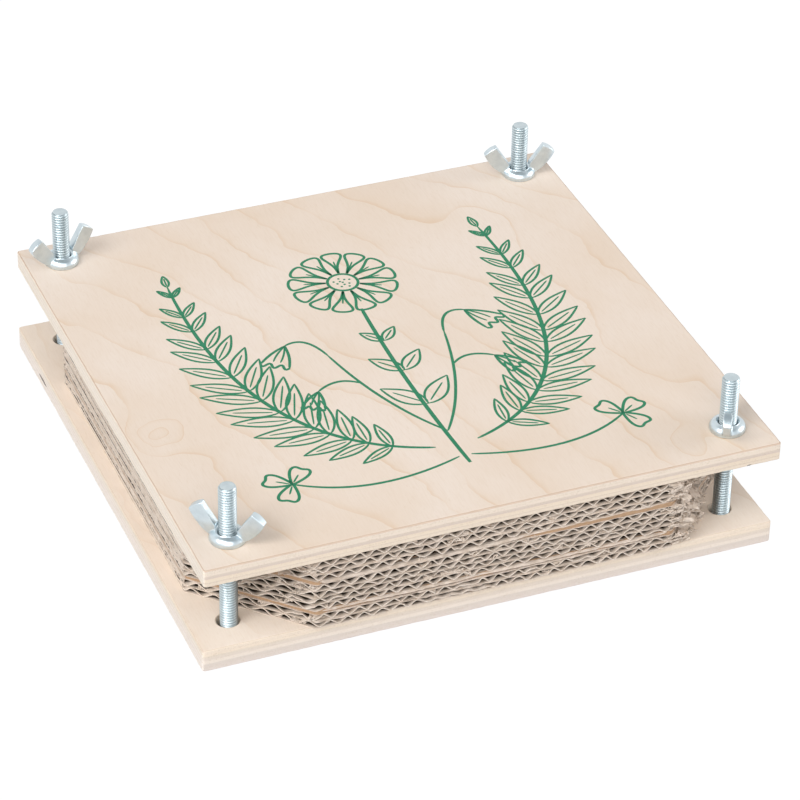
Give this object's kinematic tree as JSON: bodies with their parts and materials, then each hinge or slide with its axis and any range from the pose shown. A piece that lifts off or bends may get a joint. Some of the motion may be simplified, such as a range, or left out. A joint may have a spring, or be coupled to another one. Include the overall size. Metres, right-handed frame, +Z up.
{
  "type": "flower press",
  "caption": "Square wooden flower press: two plywood boards drawn together by corner bolts and wing nuts over a stack of corrugated sheets and blotting cards.",
  "frame": {"origin": "middle of the press on the bottom board's underside, where it rests", "axes": "+Z up along the bolts, +X to the right along the front edge, +Y to the back"},
  "size_m": [0.2004, 0.2012, 0.0611],
  "materials": {
    "birch_plywood": "matte",
    "zinc_bolt": "satin",
    "zinc_nut": "satin",
    "kraft_board": "matte",
    "blotting_card": "matte"
  },
  "bodies": {
    "root": {"bottom_board": "birch_plywood", "bolt_front_left": "zinc_bolt", "bolt_front_right": "zinc_bolt", "bolt_back_left": "zinc_bolt", "bolt_back_right": "zinc_bolt"},
    "top_board": {"top_board": "birch_plywood"},
    "wing_nut_front_left": {"wing_nut_front_left": "zinc_nut"},
    "wing_nut_front_right": {"wing_nut_front_right": "zinc_nut"},
    "wing_nut_back_left": {"wing_nut_back_left": "zinc_nut"},
    "wing_nut_back_right": {"wing_nut_back_right": "zinc_nut"},
    "corrugated_sheet_1": {"corrugated_sheet_1": "kraft_board"},
    "corrugated_sheet_2": {"corrugated_sheet_2": "kraft_board"},
    "blotting_card_lower": {"blotting_card_lower": "blotting_card"},
    "corrugated_sheet_3": {"corrugated_sheet_3": "kraft_board"},
    "corrugated_sheet_4": {"corrugated_sheet_4": "kraft_board"},
    "corrugated_sheet_5": {"corrugated_sheet_5": "kraft_board"},
    "corrugated_sheet_6": {"corrugated_sheet_6": "kraft_board"},
    "blotting_card_upper": {"blotting_card_upper": "blotting_card"},
    "corrugated_sheet_7": {"corrugated_sheet_7": "kraft_board"},
    "corrugated_sheet_8": {"corrugated_sheet_8": "kraft_board"},
    "corrugated_sheet_9": {"corrugated_sheet_9": "kraft_board"}
  },
  "joints": [
    {"name": "nut_front_left_turn", "type": "hinge", "parent": "top_board", "child": "wing_nut_front_left", "pos_m": [-0.087, -0.087, 0.0406], "axis": [0, 0, 1], "range_deg": [0, 5491]},
    {"name": "nut_front_right_turn", "type": "hinge", "parent": "top_board", "child": "wing_nut_front_right", "pos_m": [0.087, -0.087, 0.0406], "axis": [0, 0, 1], "range_deg": [0, 5491]},
    {"name": "nut_back_left_turn", "type": "hinge", "parent": "top_board", "child": "wing_nut_back_left", "pos_m": [-0.087, 0.087, 0.0406], "axis": [0, 0, 1], "range_deg": [0, 5491]},
    {"name": "nut_back_right_turn", "type": "hinge", "parent": "top_board", "child": "wing_nut_back_right", "pos_m": [0.087, 0.087, 0.0406], "axis": [0, 0, 1], "range_deg": [0, 5491]},
    {"name": "top_board_lift", "type": "slide", "parent": "root", "child": "top_board", "axis": [0, 0, 1], "range_m": [0, 0.01525]},
    {"name": "corrugated_sheet_1_lift", "type": "slide", "parent": "root", "child": "corrugated_sheet_1", "axis": [0, 0, 1], "range_m": [0, 0.00129]},
    {"name": "corrugated_sheet_2_lift", "type": "slide", "parent": "root", "child": "corrugated_sheet_2", "axis": [0, 0, 1], "range_m": [0, 0.00256]},
    {"name": "blotting_card_lower_lift", "type": "slide", "parent": "root", "child": "blotting_card_lower", "axis": [0, 0, 1], "range_m": [0, 0.00383]},
    {"name": "corrugated_sheet_3_lift", "type": "slide", "parent": "root", "child": "corrugated_sheet_3", "axis": [0, 0, 1], "range_m": [0, 0.0051]},
    {"name": "corrugated_sheet_4_lift", "type": "slide", "parent": "root", "child": "corrugated_sheet_4", "axis": [0, 0, 1], "range_m": [0, 0.00637]},
    {"name": "corrugated_sheet_5_lift", "type": "slide", "parent": "root", "child": "corrugated_sheet_5", "axis": [0, 0, 1], "range_m": [0, 0.00764]},
    {"name": "corrugated_sheet_6_lift", "type": "slide", "parent": "root", "child": "corrugated_sheet_6", "axis": [0, 0, 1], "range_m": [0, 0.00892]},
    {"name": "blotting_card_upper_lift", "type": "slide", "parent": "root", "child": "blotting_card_upper", "axis": [0, 0, 1], "range_m": [0, 0.01019]},
    {"name": "corrugated_sheet_7_lift", "type": "slide", "parent": "root", "child": "corrugated_sheet_7", "axis": [0, 0, 1], "range_m": [0, 0.01146]},
    {"name": "corrugated_sheet_8_lift", "type": "slide", "parent": "root", "child": "corrugated_sheet_8", "axis": [0, 0, 1], "range_m": [0, 0.01273]},
    {"name": "corrugated_sheet_9_lift", "type": "slide", "parent": "root", "child": "corrugated_sheet_9", "axis": [0, 0, 1], "range_m": [0, 0.014]}
  ],
  "couplings": [
    {"joint": "nut_front_left_turn", "follows": "top_board_lift", "rad_per_m": 6283.2},
    {"joint": "nut_front_right_turn", "follows": "top_board_lift", "rad_per_m": 6283.2},
    {"joint": "nut_back_left_turn", "follows": "top_board_lift", "rad_per_m": 6283.2},
    {"joint": "nut_back_right_turn", "follows": "top_board_lift", "rad_per_m": 6283.2},
    {"joint": "corrugated_sheet_1_lift", "follows": "top_board_lift", "ratio": 0.083333},
    {"joint": "corrugated_sheet_2_lift", "follows": "top_board_lift", "ratio": 0.16667},
    {"joint": "blotting_card_lower_lift", "follows": "top_board_lift", "ratio": 0.25},
    {"joint": "corrugated_sheet_3_lift", "follows": "top_board_lift", "ratio": 0.33333},
    {"joint": "corrugated_sheet_4_lift", "follows": "top_board_lift", "ratio": 0.41667},
    {"joint": "corrugated_sheet_5_lift", "follows": "top_board_lift", "ratio": 0.5},
    {"joint": "corrugated_sheet_6_lift", "follows": "top_board_lift", "ratio": 0.58333},
    {"joint": "blotting_card_upper_lift", "follows": "top_board_lift", "ratio": 0.66667},
    {"joint": "corrugated_sheet_7_lift", "follows": "top_board_lift", "ratio": 0.75},
    {"joint": "corrugated_sheet_8_lift", "follows": "top_board_lift", "ratio": 0.83333},
    {"joint": "corrugated_sheet_9_lift", "follows": "top_board_lift", "ratio": 0.91667}
  ]
}
